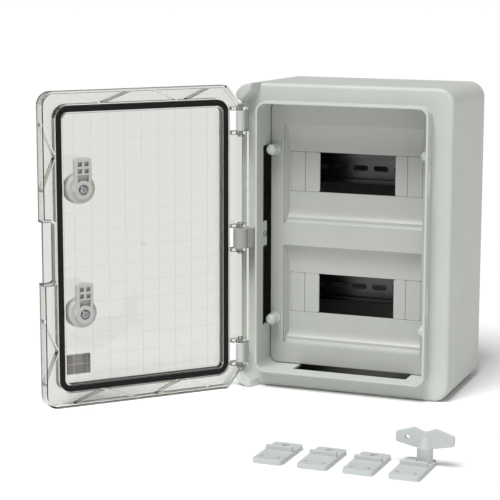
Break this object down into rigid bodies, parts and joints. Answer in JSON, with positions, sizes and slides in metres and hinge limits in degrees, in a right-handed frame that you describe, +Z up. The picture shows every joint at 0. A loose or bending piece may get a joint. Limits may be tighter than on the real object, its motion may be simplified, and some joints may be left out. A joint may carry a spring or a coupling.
{
  "type": "combiner enclosure",
  "caption": "Weatherproof light grey wall enclosure with a hinged clear door, turn locks, slotted rails behind a windowed inner cover, loose wall lugs and a key.",
  "frame": {"origin": "centre of the enclosure's flat bottom face, on which it stands", "axes": "+Z up, +Y towards the wall the enclosure hangs on, -Y out of its front, +X to the right seen from the front"},
  "size_m": [0.4815, 0.435, 0.35],
  "materials": {
    "body_grey": "fine moulded texture, light grey ABS",
    "cover_grey": "satin light grey ABS",
    "hinge_grey": "satin grey moulded plastic",
    "clear_polycarbonate": "clear gloss polycarbonate",
    "gasket_rubber": "black foamed rubber",
    "lock_grey": "satin grey nylon",
    "knob_plastic": "light grey nylon",
    "lug_plastic": "very light grey ABS",
    "rail_steel": "zinc plated rolled steel",
    "zinc": "bright zinc plated steel",
    "label": "satin printed plate, blank"
  },
  "bodies": {
    "enclosure": {"rear_shell": "body_grey", "front_frame": "body_grey", "middle_hinge_block": "hinge_grey", "hinge_block_screw": "zinc", "inner_cover": "cover_grey", "cover_posts": "cover_grey", "upper_din_rail": "rail_steel", "lower_din_rail": "rail_steel", "rail_upright_left": "rail_steel", "rail_upright_right": "rail_steel", "rail_screws": "zinc", "upright_screws": "zinc", "upper_blanking_strip_left": "cover_grey", "upper_blanking_strip_right": "cover_grey", "lower_blanking_strip_left": "cover_grey", "lower_blanking_strip_right": "cover_grey"},
    "door": {"door_panel": "clear_polycarbonate", "door_gasket": "gasket_rubber", "label_plate": "label", "upper_hinge_pins": "zinc", "middle_hinge_pins": "zinc", "lower_hinge_pins": "zinc", "upper_lock_bush": "lock_grey", "lower_lock_bush": "lock_grey"},
    "upper_lock": {"upper_lock_cam": "lock_grey", "upper_lock_spindle": "zinc", "upper_lock_screw": "zinc"},
    "lower_lock": {"lower_lock_cam": "lock_grey", "lower_lock_spindle": "zinc", "lower_lock_screw": "zinc"},
    "knob_upper_left": {"cover_knob_upper_left": "knob_plastic"},
    "knob_upper_right": {"cover_knob_upper_right": "knob_plastic"},
    "knob_lower_left": {"cover_knob_lower_left": "knob_plastic"},
    "knob_lower_right": {"cover_knob_lower_right": "knob_plastic"},
    "lug_1": {"wall_lug_1": "lug_plastic"},
    "lug_2": {"wall_lug_2": "lug_plastic"},
    "lug_3": {"wall_lug_3": "lug_plastic"},
    "lug_4": {"wall_lug_4": "lug_plastic"},
    "key": {"door_key": "lug_plastic"}
  },
  "joints": [
    {"name": "door_hinge", "type": "hinge", "parent": "enclosure", "child": "door", "pos_m": [-0.1171, -0.0883, 0.1743], "axis": [0, 0, 1], "range_deg": [-20, 131.4]},
    {"name": "upper_lock_turn", "type": "hinge", "parent": "door", "child": "upper_lock", "pos_m": [-0.24224, -0.2366, 0.2424], "axis": [0.7501, -0.6613, 0], "range_deg": [0, 90]},
    {"name": "lower_lock_turn", "type": "hinge", "parent": "door", "child": "lower_lock", "pos_m": [-0.24224, -0.2366, 0.1052], "axis": [0.7501, -0.6613, 0], "range_deg": [0, 90]},
    {"name": "knob_upper_left_turn", "type": "hinge", "parent": "enclosure", "child": "knob_upper_left", "pos_m": [-0.0915, -0.0455, 0.2732], "axis": [0, -1, 0], "range_deg": [0, 90]},
    {"name": "knob_upper_right_turn", "type": "hinge", "parent": "enclosure", "child": "knob_upper_right", "pos_m": [0.0913, -0.0455, 0.2732], "axis": [0, -1, 0], "range_deg": [0, 90]},
    {"name": "knob_lower_left_turn", "type": "hinge", "parent": "enclosure", "child": "knob_lower_left", "pos_m": [-0.0915, -0.0455, 0.0755], "axis": [0, -1, 0], "range_deg": [0, 90]},
    {"name": "knob_lower_right_turn", "type": "hinge", "parent": "enclosure", "child": "knob_lower_right", "pos_m": [0.0913, -0.0455, 0.0755], "axis": [0, -1, 0], "range_deg": [0, 90]},
    {"name": "lug_1_lift", "type": "slide", "parent": "enclosure", "child": "lug_1", "axis": [0, 0, 1], "range_m": [0, 0.05]},
    {"name": "lug_2_lift", "type": "slide", "parent": "enclosure", "child": "lug_2", "axis": [0, 0, 1], "range_m": [0, 0.05]},
    {"name": "lug_3_lift", "type": "slide", "parent": "enclosure", "child": "lug_3", "axis": [0, 0, 1], "range_m": [0, 0.05]},
    {"name": "lug_4_lift", "type": "slide", "parent": "enclosure", "child": "lug_4", "axis": [0, 0, 1], "range_m": [0, 0.05]},
    {"name": "key_lift", "type": "slide", "parent": "lug_4", "child": "key", "axis": [0, 0, 1], "range_m": [0, 0.04]}
  ]
}
